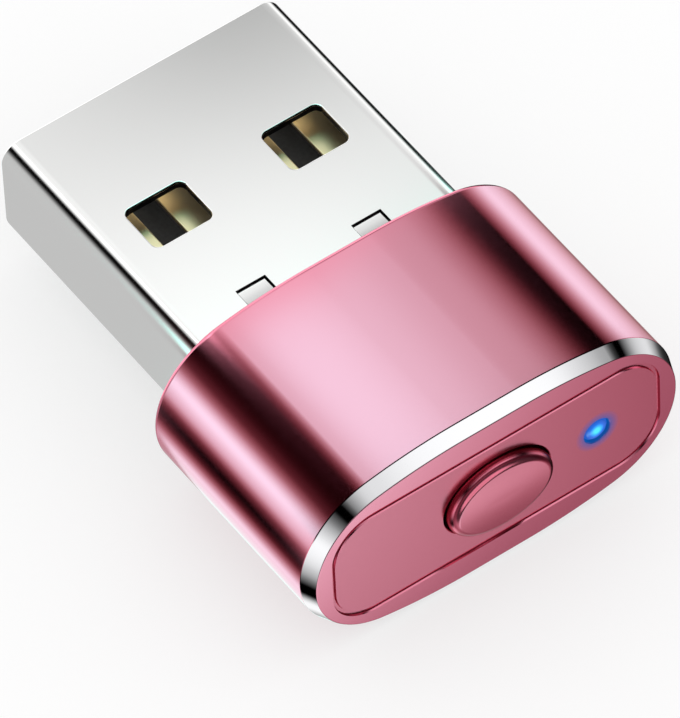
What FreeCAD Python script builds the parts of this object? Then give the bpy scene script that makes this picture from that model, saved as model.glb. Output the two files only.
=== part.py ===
import FreeCAD, Part
import math
import os

# USB mouse jiggler: an oval anodised sleeve round a USB-A plug, with a push button
# and a status light in the panel that closes its end. Lengths are in millimetres.
# Frame: +Y runs out of the plug's tip, +Z is up, X is the width. The origin is the
# centre of the flat land on the sleeve's underside, midway along the sleeve.

# ---- USB-A plug ------------------------------------------------------------------
PLUG_WIDTH = 12.0
PLUG_HEIGHT = 4.5
PLUG_LENGTH = 12.0  # from the sleeve's front face to the tip
PLUG_WALL = 0.3
PLUG_CORNER_RADIUS = 0.8
PLUG_MOUTH_CHAMFER = 0.08
WINDOW_WIDTH = 2.52
WINDOW_LENGTH = 2.07
WINDOW_CORNER_RADIUS = 0.3
WINDOW_X = 2.94
WINDOW_FROM_TIP = 6.03  # to the window's centre
TAB_WIDTH = 1.18
TAB_LENGTH = 1.5
TAB_DROP = 0.1
TAB_X = 2.48
TAB_FROM_SLEEVE = 1.7  # to the tab's free end
SEAM_WIDTH = 0.08
SEAM_DEPTH = 0.1
LEG_LENGTH = 1.7
LEG_HEIGHT = 2.2
BLOCK_FROM_SLEEVE = 2.6  # how far the moulded block reaches out into the plug
TONGUE_SETBACK = 0.6  # from the tip to the tongue's end
TONGUE_EDGE = 0.12

# ---- contact strips --------------------------------------------------------------
CONTACT_WIDTH = 1.18
CONTACT_THICKNESS = 0.2
CONTACT_INNER_X = 1.83
CONTACT_OUTER_X = 4.02
CONTACT_BOW = 1.0  # how high the sprung middle stands off the tongue
CONTACT_CREST_LENGTH = 3.4
CONTACT_RAMP_LENGTH = 2.0
CONTACT_SETBACK = 0.5  # from the tongue's end to the strip's end
CONTACT_TAIL_LENGTH = 1.5
CONTACT_BEND_RADIUS = 0.35

# ---- oval sleeve -----------------------------------------------------------------
SLEEVE_TOP_WALL = 1.3
SLEEVE_SIDE_WALL = 0.92
SLEEVE_CROWN_RISE = 0.3  # crown height over the end arcs' radius
SLEEVE_FLAT_WIDTH = 2.5
SLEEVE_FRONT_RADIUS = 0.25
BRIGHT_CUT_LENGTH = 0.6
BRIGHT_CUT_WIDTH = 0.25
CAVITY_RADIUS = 1.8

# ---- collar and carrier ----------------------------------------------------------
COLLAR_TOP_WALL = 0.3
COLLAR_SIDE_WALL = 0.93
COLLAR_RECESS = 0.3
COLLAR_LENGTH = 1.9
COLLAR_EDGE = 0.15
BLOCK_OVERHANG = 0.2  # how far the moulded block stands behind the plug's shell
CARRIER_WALL = 0.5  # above and below the carrier's pocket
CARRIER_RAIL = 0.85
CARRIER_LIP = 0.3

# ---- end panel, button and light -------------------------------------------------
PANEL_THICKNESS = 1.03
PANEL_RECESS = 0.02
PANEL_EDGE = 0.03
MOUTH_EDGE = 0.06
BUTTON_WIDTH = 4.4
BUTTON_HEIGHT = 3.35
BUTTON_PROUD = 0.47
BUTTON_EDGE_RADIUS = 0.35
BUTTON_FLANGE_WIDTH = 0.4
BUTTON_FLANGE_HEIGHT = 0.15
BUTTON_FLANGE_THICKNESS = 0.4
BUTTON_FLANGE_RADIUS = 1.2
LIGHT_X = 4.3
LIGHT_RADIUS = 0.5
LIGHT_HEAD_RADIUS = 0.85
LIGHT_HEAD_THICKNESS = 0.35

# ---- board and what it carries ---------------------------------------------------
BOARD_THICKNESS = 0.8
SWITCH_WIDTH = 4.7
SWITCH_DEPTH = 2.0
SWITCH_HEIGHT = 3.0
SWITCH_COVER_WALL = 0.15
SWITCH_COVER_LAP = 1.2
PLUNGER_PROUD = 0.3
PLUNGER_RADIUS = 0.7
PLUNGER_EDGE = 0.14
PLUNGER_FLANGE_WIDTH = 0.25
PLUNGER_FLANGE_THICKNESS = 0.25
DOME_RADIUS = 1.15
DOME_RISE = 0.42
DOME_THICKNESS = 0.07
TERMINAL_REACH = 0.6
TERMINAL_WIDTH = 0.5
TERMINAL_THICKNESS = 0.15
TERMINAL_SPACING = 1.0
CHIP_WIDTH = 3.0
CHIP_HEIGHT = 0.8
CHIP_EDGE = 0.08
CHIP_FROM_BACK = 0.25
CHIP_MARK_RADIUS = 0.2
CHIP_MARK_DEPTH = 0.05
CHIP_MARK_INSET = 0.5
CRYSTAL_WIDTH = 2.5
CRYSTAL_DEPTH = 2.0
CRYSTAL_BASE = 0.25
CRYSTAL_HEIGHT = 0.7
CRYSTAL_RIM = 0.12
CRYSTAL_LID_RADIUS = 0.25
REGULATOR_WIDTH = 2.9
REGULATOR_DEPTH = 1.3
REGULATOR_HEIGHT = 0.95
REGULATOR_LEG_REACH = 0.45
REGULATOR_LEG_WIDTH = 0.4
REGULATOR_LEG_THICKNESS = 0.12
REGULATOR_PITCH = 0.95
REGULATOR_FROM_BACK = 1.0
PASSIVE_LENGTH = 1.0
PASSIVE_WIDTH = 0.5
CAPACITOR_HEIGHT = 0.5
RESISTOR_HEIGHT = 0.35
PASSIVE_PITCH = 0.85
PASSIVE_FROM_FRONT = 1.85
LAMP_WIDTH = 1.6
LAMP_DEPTH = 0.8
LAMP_HEIGHT = 0.7
LAMP_LENS_RADIUS = 0.3
SOLDER_LENGTH = 0.5
SOLDER_HEIGHT = 0.25

# ---- clearances ------------------------------------------------------------------
ASSEMBLY_GAP = 0.05  # between parts that are pushed together
PANEL_SIDE_GAP = 0.13  # the groove at the end panel's left and right
PANEL_GAP = 0.22  # the groove above and below it
BUTTON_GAP = 0.08  # all round the button in its hole
BUTTON_PLAY = 0.05  # before the button meets the plunger, and behind the panel
SWITCH_PLAY = 0.03
CHIP_GAP = 0.1  # between the chip and the carrier's rail
SIDE_GAP = 0.28  # between the rail and the crystal or the regulator
CRYSTAL_GAP = 0.15  # between the crystal and the solder in front of it
CUP_GAP = 0.1  # round the dome in the switch's cup
FLANGE_GAP = 0.15  # above and below the button's flange in the carrier's pocket
BOARD_FRONT_GAP = 0.1

# ---- heights and widths that follow ----------------------------------------------
pocket_height = BUTTON_HEIGHT + 2 * (BUTTON_FLANGE_HEIGHT + FLANGE_GAP)
collar_height = max(
    PLUG_HEIGHT + 2 * (ASSEMBLY_GAP + COLLAR_TOP_WALL),
    pocket_height + 2 * CARRIER_WALL,
)
# half the row that the chip and the switch make across the board
row_width = SWITCH_WIDTH / 2 + TERMINAL_REACH + ASSEMBLY_GAP + CHIP_WIDTH + CHIP_GAP
collar_width = max(
    PLUG_WIDTH + 2 * (ASSEMBLY_GAP + COLLAR_SIDE_WALL),
    2 * (row_width + CARRIER_RAIL),
)
cavity_height = collar_height + 2 * ASSEMBLY_GAP
cavity_width = collar_width + 2 * ASSEMBLY_GAP
sleeve_height = cavity_height + 2 * SLEEVE_TOP_WALL
sleeve_width = cavity_width + 2 * SLEEVE_SIDE_WALL
sleeve_end_radius = sleeve_height / 2 - SLEEVE_CROWN_RISE
axis_z = sleeve_height / 2
board_top_z = axis_z
board_bottom_z = board_top_z - BOARD_THICKNESS
pocket_width = collar_width - 2 * CARRIER_RAIL
board_width = collar_width - 2 * (CARRIER_LIP + ASSEMBLY_GAP)
chip_x = CHIP_GAP + (CHIP_WIDTH - pocket_width) / 2
crystal_x = (pocket_width - CRYSTAL_WIDTH) / 2 - SIDE_GAP
regulator_x = SIDE_GAP - (pocket_width - REGULATOR_WIDTH) / 2
plunger_flange_radius = PLUNGER_RADIUS + PLUNGER_FLANGE_WIDTH
cup_radius = max(DOME_RADIUS, plunger_flange_radius) + CUP_GAP

# ---- the board's length: its two longest columns of parts, and the plug's tails -------
chip_column = CHIP_FROM_BACK + CHIP_WIDTH + ASSEMBLY_GAP
lamp_column = LAMP_LENS_RADIUS + LAMP_DEPTH + ASSEMBLY_GAP + CRYSTAL_DEPTH + CRYSTAL_GAP
board_length = max(chip_column, lamp_column) + SOLDER_LENGTH + CONTACT_TAIL_LENGTH

# ---- places along the plug, from the sleeve's front face to its end face ---------
sleeve_length = (
    COLLAR_RECESS + COLLAR_LENGTH + BOARD_FRONT_GAP + board_length + PLUNGER_PROUD
    + BUTTON_PLAY + BUTTON_FLANGE_THICKNESS + BUTTON_PLAY + PANEL_THICKNESS + PANEL_RECESS
)
front_y = sleeve_length / 2
end_y = -sleeve_length / 2
tip_y = front_y + PLUG_LENGTH
collar_front_y = front_y - COLLAR_RECESS
collar_back_y = collar_front_y - COLLAR_LENGTH
shell_back_y = collar_back_y + BLOCK_OVERHANG
board_front_y = collar_back_y - BOARD_FRONT_GAP
board_back_y = board_front_y - board_length
plunger_tip_y = board_back_y - PLUNGER_PROUD
flange_front_y = plunger_tip_y - BUTTON_PLAY
flange_back_y = flange_front_y - BUTTON_FLANGE_THICKNESS
panel_back_y = flange_back_y - BUTTON_PLAY
panel_face_y = end_y + PANEL_RECESS
leg_back_y = shell_back_y - LEG_LENGTH
window_y = tip_y - WINDOW_FROM_TIP
tongue_tip_y = tip_y - TONGUE_SETBACK
block_front_y = front_y + BLOCK_FROM_SLEEVE
CONTACT_PLACES = {
    "contact_vbus": CONTACT_OUTER_X,
    "contact_data_minus": CONTACT_INNER_X,
    "contact_data_plus": -CONTACT_INNER_X,
    "contact_ground": -CONTACT_OUTER_X,
}


# ---- shapes used more than once --------------------------------------------------
def box(x0, x1, y0, y1, z0, z1):
    """Block between two corners."""
    return Part.makeBox(x1 - x0, y1 - y0, z1 - z0, FreeCAD.Vector(x0, y0, z0))


def centred_box(x, y0, y1, z0, z1, width):
    """Block centred on x."""
    return box(x - width / 2, x + width / 2, y0, y1, z0, z1)


def edges_along(shape, axis):
    """Straight edges that run along an axis: 0 for X, 1 for Y, 2 for Z."""
    found = []
    for edge in shape.Edges:
        if edge.Curve.TypeId == "Part::GeomLine":
            if abs(edge.Curve.Direction[axis]) > 0.999:
                found.append(edge)
    return found


def edges_at(shape, axis, place):
    """Edges that lie wholly in the plane where one coordinate has the given value."""
    found = []
    for edge in shape.Edges:
        bounds = edge.BoundBox
        low = (bounds.XMin, bounds.YMin, bounds.ZMin)[axis]
        high = (bounds.XMax, bounds.YMax, bounds.ZMax)[axis]
        if abs(low - place) < 1e-4 and abs(high - place) < 1e-4:
            found.append(edge)
    return found


def rounded_bar(width, height, radius, y0, y1):
    """Bar of rounded rectangular section along Y, centred on the plug's axis."""
    bar = box(-width / 2, width / 2, y0, y1, axis_z - height / 2, axis_z + height / 2)
    return bar.makeFillet(radius, edges_along(bar, 1))


def rounded_pad(x, y, width, length, radius, z0, z1):
    """Upright block with rounded corners."""
    pad = box(x - width / 2, x + width / 2, y - length / 2, y + length / 2, z0, z1)
    return pad.makeFillet(radius, edges_along(pad, 2))


def rod(x, y0, y1, radius):
    """Round bar along Y at the plug axis's height."""
    return Part.makeCylinder(radius, y1 - y0, FreeCAD.Vector(x, y0, axis_z), FreeCAD.Vector(0, 1, 0))


def sleeve_outline(y):
    """Closed outline of the sleeve at y: flat lands, crown arcs and round ends."""
    half_width = sleeve_width / 2
    half_height = sleeve_height / 2
    flat = SLEEVE_FLAT_WIDTH / 2
    run = half_width - sleeve_end_radius - flat
    crown = (run**2 + half_height**2 - sleeve_end_radius**2) / (2 * (half_height - sleeve_end_radius))
    turn = math.atan2(run, crown - half_height)
    land = (flat, half_height)
    crest = (flat + crown * math.sin(turn / 2), half_height - crown + crown * math.cos(turn / 2))
    join = (flat + crown * math.sin(turn), half_height - crown + crown * math.cos(turn))
    side = (half_width, 0)
    # each stretch: start, middle of its arc or None for a straight, and end, with the signs of x and z
    stretches = [
        ((-1, 1, land), None, (1, 1, land)),
        ((1, 1, land), (1, 1, crest), (1, 1, join)),
        ((1, 1, join), (1, 1, side), (1, -1, join)),
        ((1, -1, join), (1, -1, crest), (1, -1, land)),
        ((1, -1, land), None, (-1, -1, land)),
        ((-1, -1, land), (-1, -1, crest), (-1, -1, join)),
        ((-1, -1, join), (-1, 1, side), (-1, 1, join)),
        ((-1, 1, join), (-1, 1, crest), (-1, 1, land)),
    ]

    def point(place):
        sign_x, sign_z, (x, z) = place
        return FreeCAD.Vector(sign_x * x, y, axis_z + sign_z * z)

    edges = []
    for start, middle, end in stretches:
        if middle is None:
            edges.append(Part.LineSegment(point(start), point(end)).toShape())
        else:
            edges.append(Part.Arc(point(start), point(middle), point(end)).toShape())
    return Part.Wire(edges)


def button_oval(spare, y0, y1):
    """Oval bar of the button's outline, grown by spare all round."""
    width = BUTTON_WIDTH + 2 * spare
    height = BUTTON_HEIGHT + 2 * spare
    ring = Part.Ellipse(FreeCAD.Vector(0, 0, 0), width / 2, height / 2)
    wire = Part.Wire([ring.toShape()])
    wire.rotate(FreeCAD.Vector(0, 0, 0), FreeCAD.Vector(1, 0, 0), 90)
    wire.translate(FreeCAD.Vector(0, y0, axis_z))
    return Part.Face(wire).extrude(FreeCAD.Vector(0, y1 - y0, 0))


# ---- sleeve ----------------------------------------------------------------------
def body_shell():
    """Sleeve with a rounded front edge, a bright-cut chamfer round its end and a through cavity."""
    barrel = Part.Face(sleeve_outline(end_y)).extrude(FreeCAD.Vector(0, sleeve_length, 0))
    barrel = barrel.makeFillet(SLEEVE_FRONT_RADIUS, edges_at(barrel, 1, front_y))
    barrel = barrel.makeChamfer(BRIGHT_CUT_LENGTH, BRIGHT_CUT_WIDTH, edges_at(barrel, 1, end_y))
    cavity = rounded_bar(cavity_width, cavity_height, CAVITY_RADIUS, end_y, front_y)
    shell = barrel.cut(cavity)
    opening = cavity.BoundBox
    opening.enlarge(ASSEMBLY_GAP)
    rim = [edge for edge in edges_at(shell, 1, end_y) if opening.isInside(edge.BoundBox)]
    return shell.makeChamfer(MOUTH_EDGE, rim)


def front_collar():
    corner = CAVITY_RADIUS - ASSEMBLY_GAP
    collar = rounded_bar(collar_width, collar_height, corner, collar_back_y, collar_front_y)
    collar = collar.makeChamfer(COLLAR_EDGE, edges_at(collar, 1, collar_front_y))
    opening = rounded_bar(
        PLUG_WIDTH + 2 * ASSEMBLY_GAP,
        PLUG_HEIGHT + 2 * ASSEMBLY_GAP,
        PLUG_CORNER_RADIUS + ASSEMBLY_GAP,
        collar_back_y,
        collar_front_y,
    )
    return collar.cut(opening)


def carrier(upper):
    """Half of the frame that holds the board; the halves meet at the board's top face."""
    corner = CAVITY_RADIUS - ASSEMBLY_GAP
    block = rounded_bar(collar_width, collar_height, corner, panel_back_y, collar_back_y)
    half = pocket_height / 2
    pocket = centred_box(0, panel_back_y, collar_back_y, axis_z - half, axis_z + half, pocket_width)
    top = axis_z + collar_height
    bottom = axis_z - collar_height
    if upper:
        keep = box(-collar_width, collar_width, panel_back_y, collar_back_y, board_top_z, top)
        return block.cut(pocket).common(keep)
    keep = box(-collar_width, collar_width, panel_back_y, collar_back_y, bottom, board_top_z)
    slot_width = board_width + 2 * ASSEMBLY_GAP
    slot_end = board_back_y - ASSEMBLY_GAP
    slot = centred_box(0, slot_end, collar_back_y, board_bottom_z, board_top_z, slot_width)
    return block.cut(pocket).common(keep).cut(slot)


# ---- end panel, button and light -------------------------------------------------
def end_panel():
    width = cavity_width - 2 * PANEL_SIDE_GAP
    height = cavity_height - 2 * PANEL_GAP
    radius = CAVITY_RADIUS - PANEL_SIDE_GAP
    panel = rounded_bar(width, height, radius, panel_face_y, panel_back_y)
    panel = panel.makeChamfer(PANEL_EDGE, edges_at(panel, 1, panel_face_y))
    panel = panel.cut(button_oval(BUTTON_GAP, panel_face_y, panel_back_y))
    return panel.cut(rod(LIGHT_X, panel_face_y, panel_back_y, LIGHT_RADIUS + ASSEMBLY_GAP))


def button_cap():
    cap = button_oval(0, end_y - BUTTON_PROUD, flange_front_y)
    cap = cap.makeFillet(BUTTON_EDGE_RADIUS, edges_at(cap, 1, end_y - BUTTON_PROUD))
    flange = rounded_bar(
        BUTTON_WIDTH + 2 * BUTTON_FLANGE_WIDTH,
        BUTTON_HEIGHT + 2 * BUTTON_FLANGE_HEIGHT,
        BUTTON_FLANGE_RADIUS,
        flange_back_y,
        flange_front_y,
    )
    return cap.fuse(flange).removeSplitter()


def light_pipe():
    head_front_y = panel_back_y + LIGHT_HEAD_THICKNESS
    stem = rod(LIGHT_X, panel_face_y, panel_back_y, LIGHT_RADIUS)
    head = rod(LIGHT_X, panel_back_y, head_front_y, LIGHT_HEAD_RADIUS)
    tail = rod(LIGHT_X, head_front_y, board_back_y - ASSEMBLY_GAP, LIGHT_RADIUS)
    return stem.fuse([head, tail]).removeSplitter()


# ---- plug ------------------------------------------------------------------------
def plug_tab(side, x):
    """Sheared tab that is bent into the plug; side is 1 on the top wall, -1 underneath."""
    free_y = front_y + TAB_FROM_SLEEVE
    root_y = free_y - TAB_LENGTH
    outer = PLUG_HEIGHT / 2
    inner = outer - PLUG_WALL
    corners = [
        (root_y, outer),
        (free_y, outer - TAB_DROP),
        (free_y, inner - TAB_DROP),
        (root_y, inner),
    ]
    points = [FreeCAD.Vector(x - TAB_WIDTH / 2, y, axis_z + side * z) for y, z in corners]
    outline = Part.makePolygon(points + points[:1])
    return Part.Face(outline).extrude(FreeCAD.Vector(TAB_WIDTH, 0, 0))


def plug_shell():
    shell = rounded_bar(PLUG_WIDTH, PLUG_HEIGHT, PLUG_CORNER_RADIUS, shell_back_y, tip_y)
    shell = shell.makeChamfer(PLUG_MOUTH_CHAMFER, edges_at(shell, 1, tip_y))
    hollow = rounded_bar(
        PLUG_WIDTH - 2 * PLUG_WALL,
        PLUG_HEIGHT - 2 * PLUG_WALL,
        PLUG_CORNER_RADIUS - PLUG_WALL,
        shell_back_y,
        tip_y,
    )
    shell = shell.cut(hollow)
    low = axis_z - PLUG_HEIGHT
    high = axis_z + PLUG_HEIGHT
    cuts = []
    tabs = []
    free_y = front_y + TAB_FROM_SLEEVE
    for hand in (-1, 1):
        x = hand * WINDOW_X
        cuts.append(rounded_pad(x, window_y, WINDOW_WIDTH, WINDOW_LENGTH, WINDOW_CORNER_RADIUS, low, high))
        cuts.append(centred_box(hand * TAB_X, free_y - TAB_LENGTH, free_y, low, high, TAB_WIDTH))
        tabs.append(plug_tab(1, hand * TAB_X))
        tabs.append(plug_tab(-1, hand * TAB_X))
    underside = axis_z - PLUG_HEIGHT / 2
    cuts.append(centred_box(0, shell_back_y, tip_y, underside, underside + SEAM_DEPTH, SEAM_WIDTH))
    legs = []
    leg_low = axis_z - LEG_HEIGHT / 2
    leg_high = axis_z + LEG_HEIGHT / 2
    for hand in (-1, 1):
        x = hand * (PLUG_WIDTH - PLUG_WALL) / 2
        legs.append(centred_box(x, leg_back_y, shell_back_y, leg_low, leg_high, PLUG_WALL))
    return shell.cut(cuts).fuse(tabs + legs).removeSplitter()


def contact_strip(x):
    """Gold strip from its tail on the board, through the block, to its sprung front end."""
    front = tongue_tip_y - CONTACT_SETBACK
    crest_middle = window_y + CONTACT_BOW / 2
    crest_front = crest_middle + CONTACT_CREST_LENGTH / 2
    crest_back = crest_middle - CONTACT_CREST_LENGTH / 2
    tail_end = board_front_y - CONTACT_TAIL_LENGTH
    line = [
        (tail_end, 0),
        (block_front_y + CONTACT_BEND_RADIUS, 0),
        (crest_back, CONTACT_BOW),
        (crest_front, CONTACT_BOW),
        (crest_front + CONTACT_RAMP_LENGTH, 0),
        (front, 0),
    ]
    left = x - CONTACT_WIDTH / 2
    lower = [FreeCAD.Vector(left, y, axis_z + z) for y, z in line]
    upper = [FreeCAD.Vector(left, y, axis_z + z + CONTACT_THICKNESS) for y, z in reversed(line)]
    outline = Part.makePolygon(lower + upper + lower[:1])
    strip = Part.Face(outline).extrude(FreeCAD.Vector(CONTACT_WIDTH, 0, 0))
    bends = []
    for edge in edges_along(strip, 0):
        if tail_end + 1e-3 < edge.BoundBox.YMin < front - 1e-3:
            bends.append(edge)
    return strip.makeFillet(CONTACT_BEND_RADIUS, bends)


def plug_insulator():
    inner_width = PLUG_WIDTH - 2 * PLUG_WALL - 2 * ASSEMBLY_GAP
    inner_height = PLUG_HEIGHT - 2 * PLUG_WALL - 2 * ASSEMBLY_GAP
    corner = PLUG_CORNER_RADIUS - PLUG_WALL - ASSEMBLY_GAP
    block = rounded_bar(inner_width, inner_height, corner, collar_back_y, tongue_tip_y)
    gap = box(-PLUG_WIDTH, PLUG_WIDTH, block_front_y, tip_y, axis_z, axis_z + PLUG_HEIGHT)
    block = block.cut(gap)
    block = block.makeChamfer(TONGUE_EDGE, edges_at(block, 1, tongue_tip_y))
    free_y = front_y + TAB_FROM_SLEEVE
    pocket_front = free_y + ASSEMBLY_GAP
    pocket_back = free_y - TAB_LENGTH
    pocket_depth = PLUG_WALL + TAB_DROP + ASSEMBLY_GAP
    outer = PLUG_HEIGHT / 2
    cuts = []
    for hand in (-1, 1):
        width = TAB_WIDTH + 2 * ASSEMBLY_GAP
        x = hand * TAB_X
        top = axis_z + outer
        bottom = axis_z - outer
        cuts.append(centred_box(x, pocket_back, pocket_front, top - pocket_depth, top, width))
        cuts.append(centred_box(x, pocket_back, pocket_front, bottom, bottom + pocket_depth, width))
    for x in CONTACT_PLACES.values():
        top = axis_z + CONTACT_THICKNESS
        cuts.append(centred_box(x, collar_back_y, block_front_y, axis_z, top, CONTACT_WIDTH))
    return block.cut(cuts)


# ---- board -----------------------------------------------------------------------
def circuit_board():
    board = centred_box(0, board_back_y, board_front_y, board_bottom_z, board_top_z, board_width)
    between_legs = PLUG_WIDTH - 2 * PLUG_WALL - 2 * ASSEMBLY_GAP
    leg_end = leg_back_y - ASSEMBLY_GAP
    cuts = []
    for hand in (-1, 1):
        x = hand * (between_legs + board_width) / 2
        cuts.append(centred_box(x, leg_end, board_front_y, board_bottom_z, board_top_z, board_width))
    notch_width = SWITCH_WIDTH + 2 * ASSEMBLY_GAP
    notch_end = board_back_y + SWITCH_DEPTH + ASSEMBLY_GAP
    cuts.append(centred_box(0, board_back_y, notch_end, board_bottom_z, board_top_z, notch_width))
    return board.cut(cuts)


def microcontroller():
    near = board_back_y + CHIP_FROM_BACK
    top = board_top_z + CHIP_HEIGHT
    chip = centred_box(chip_x, near, near + CHIP_WIDTH, board_top_z, top, CHIP_WIDTH)
    chip = chip.makeChamfer(CHIP_EDGE, edges_at(chip, 2, top))
    mark_x = chip_x - CHIP_WIDTH / 2 + CHIP_MARK_INSET
    mark_place = FreeCAD.Vector(mark_x, near + CHIP_MARK_INSET, top - CHIP_MARK_DEPTH)
    return chip.cut(Part.makeCylinder(CHIP_MARK_RADIUS, CHIP_MARK_DEPTH, mark_place))


def crystal():
    far = board_front_y - CONTACT_TAIL_LENGTH - SOLDER_LENGTH - CRYSTAL_GAP
    near = far - CRYSTAL_DEPTH
    base = centred_box(crystal_x, near, far, board_top_z, board_top_z + CRYSTAL_BASE, CRYSTAL_WIDTH)
    lid = rounded_pad(
        crystal_x,
        (near + far) / 2,
        CRYSTAL_WIDTH - 2 * CRYSTAL_RIM,
        CRYSTAL_DEPTH - 2 * CRYSTAL_RIM,
        CRYSTAL_LID_RADIUS,
        board_top_z + CRYSTAL_BASE,
        board_top_z + CRYSTAL_HEIGHT,
    )
    return base.fuse(lid)


def voltage_regulator():
    near = board_back_y + REGULATOR_FROM_BACK
    far = near + REGULATOR_DEPTH
    low = board_bottom_z - REGULATOR_HEIGHT
    body = centred_box(regulator_x, near, far, low, board_bottom_z, REGULATOR_WIDTH)
    body = body.makeChamfer(CHIP_EDGE, edges_at(body, 2, low))
    legs = []
    for place, start, stop in (
        (-REGULATOR_PITCH, far, far + REGULATOR_LEG_REACH),
        (REGULATOR_PITCH, far, far + REGULATOR_LEG_REACH),
        (0, near - REGULATOR_LEG_REACH, near),
    ):
        x = regulator_x + place
        under = board_bottom_z - REGULATOR_LEG_THICKNESS
        legs.append(centred_box(x, start, stop, under, board_bottom_z, REGULATOR_LEG_WIDTH))
    return body.fuse(legs)


def ceramic_capacitors():
    """Two on the board's top face and two underneath, all beside the plug's contacts."""
    parts = []
    far = board_front_y - PASSIVE_FROM_FRONT
    for hand in (-1, 1):
        x = hand * PASSIVE_PITCH / 2
        top = board_top_z + CAPACITOR_HEIGHT
        under = board_bottom_z - CAPACITOR_HEIGHT
        parts.append(centred_box(x, far - PASSIVE_LENGTH, far, board_top_z, top, PASSIVE_WIDTH))
        parts.append(centred_box(x, far - PASSIVE_LENGTH, far, under, board_bottom_z, PASSIVE_WIDTH))
    return Part.makeCompound(parts)


def chip_resistors():
    """A row of three on the board's underside, on the light's side."""
    parts = []
    far = board_front_y - PASSIVE_FROM_FRONT
    for place in (-1, 0, 1):
        x = crystal_x + place * PASSIVE_PITCH
        under = board_bottom_z - RESISTOR_HEIGHT
        parts.append(centred_box(x, far - PASSIVE_LENGTH, far, under, board_bottom_z, PASSIVE_WIDTH))
    return Part.makeCompound(parts)


def status_led():
    back = board_back_y + LAMP_LENS_RADIUS
    body = centred_box(LIGHT_X, back, back + LAMP_DEPTH, board_top_z, board_top_z + LAMP_HEIGHT, LAMP_WIDTH)
    lens = Part.makeCylinder(LAMP_LENS_RADIUS, LAMP_HEIGHT, FreeCAD.Vector(LIGHT_X, back, board_top_z))
    return body.fuse(lens)


# ---- tact switch -----------------------------------------------------------------
def switch_base():
    back = board_back_y + SWITCH_COVER_WALL
    front = board_back_y + SWITCH_DEPTH
    half = SWITCH_HEIGHT / 2
    base = centred_box(0, back, front, axis_z - half, axis_z + half, SWITCH_WIDTH)
    return base.cut(rod(0, back, cup_floor_y(), cup_radius))


def cup_floor_y():
    """The floor of the switch's cup, which the dome stands on."""
    stack = PLUNGER_FLANGE_THICKNESS + DOME_RISE + DOME_THICKNESS + 2 * SWITCH_PLAY
    return board_back_y + SWITCH_COVER_WALL + stack


def switch_cover():
    """Bent steel plate over the cup, with a lap on the base's top and underside."""
    half = SWITCH_HEIGHT / 2
    back = board_back_y
    inside = back + SWITCH_COVER_WALL
    outer = half + SWITCH_COVER_WALL
    width = SWITCH_WIDTH - 2 * TERMINAL_WIDTH
    block = centred_box(0, back, back + SWITCH_COVER_LAP, axis_z - outer, axis_z + outer, width)
    inner = centred_box(0, inside, back + SWITCH_DEPTH, axis_z - half, axis_z + half, SWITCH_WIDTH)
    return block.cut([inner, rod(0, back, inside, PLUNGER_RADIUS + SWITCH_PLAY)])


def switch_plunger():
    inside = board_back_y + SWITCH_COVER_WALL + SWITCH_PLAY
    stem = rod(0, plunger_tip_y, inside, PLUNGER_RADIUS)
    stem = stem.makeFillet(PLUNGER_EDGE, edges_at(stem, 1, plunger_tip_y))
    flange = rod(0, inside, inside + PLUNGER_FLANGE_THICKNESS, plunger_flange_radius)
    return stem.fuse(flange)


def switch_dome():
    """Snap dome: a thin steel cap that stands on the cup's floor with its crown to the plunger."""
    floor_y = cup_floor_y()
    sphere_radius = (DOME_RADIUS**2 + DOME_RISE**2) / (2 * DOME_RISE)
    centre = FreeCAD.Vector(0, floor_y + sphere_radius - DOME_RISE, axis_z)
    outer = Part.makeSphere(sphere_radius, centre)
    inner = Part.makeSphere(sphere_radius - DOME_THICKNESS, centre)
    keep = rod(0, floor_y - DOME_RISE - DOME_THICKNESS, floor_y, DOME_RADIUS)
    return outer.cut(inner).common(keep)


def switch_terminals():
    """Four flat legs from the base's sides on to the board."""
    parts = []
    middle = board_back_y + (SWITCH_DEPTH + SWITCH_COVER_WALL) / 2
    for hand in (-1, 1):
        x = hand * (SWITCH_WIDTH + TERMINAL_REACH) / 2
        for side in (-1, 1):
            y = middle + side * TERMINAL_SPACING / 2
            near = y - TERMINAL_WIDTH / 2
            top = board_top_z + TERMINAL_THICKNESS
            parts.append(centred_box(x, near, near + TERMINAL_WIDTH, board_top_z, top, TERMINAL_REACH))
    return Part.makeCompound(parts)


def solder_joints():
    """A wedge of solder behind each contact tail, and one beside each shell leg."""
    parts = []
    tail_end = board_front_y - CONTACT_TAIL_LENGTH
    for x in CONTACT_PLACES.values():
        points = [
            FreeCAD.Vector(x - CONTACT_WIDTH / 2, tail_end, board_top_z),
            FreeCAD.Vector(x - CONTACT_WIDTH / 2, tail_end, board_top_z + SOLDER_HEIGHT),
            FreeCAD.Vector(x - CONTACT_WIDTH / 2, tail_end - SOLDER_LENGTH, board_top_z),
        ]
        wedge = Part.Face(Part.makePolygon(points + points[:1]))
        parts.append(wedge.extrude(FreeCAD.Vector(CONTACT_WIDTH, 0, 0)))
    leg_inside = PLUG_WIDTH / 2 - PLUG_WALL
    for hand in (-1, 1):
        points = [
            FreeCAD.Vector(hand * leg_inside, leg_back_y, board_top_z),
            FreeCAD.Vector(hand * leg_inside, leg_back_y, board_top_z + SOLDER_LENGTH),
            FreeCAD.Vector(hand * (leg_inside - SOLDER_LENGTH), leg_back_y, board_top_z),
        ]
        wedge = Part.Face(Part.makePolygon(points + points[:1]))
        parts.append(wedge.extrude(FreeCAD.Vector(0, LEG_LENGTH / 2, 0)))
    return Part.makeCompound(parts)


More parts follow.
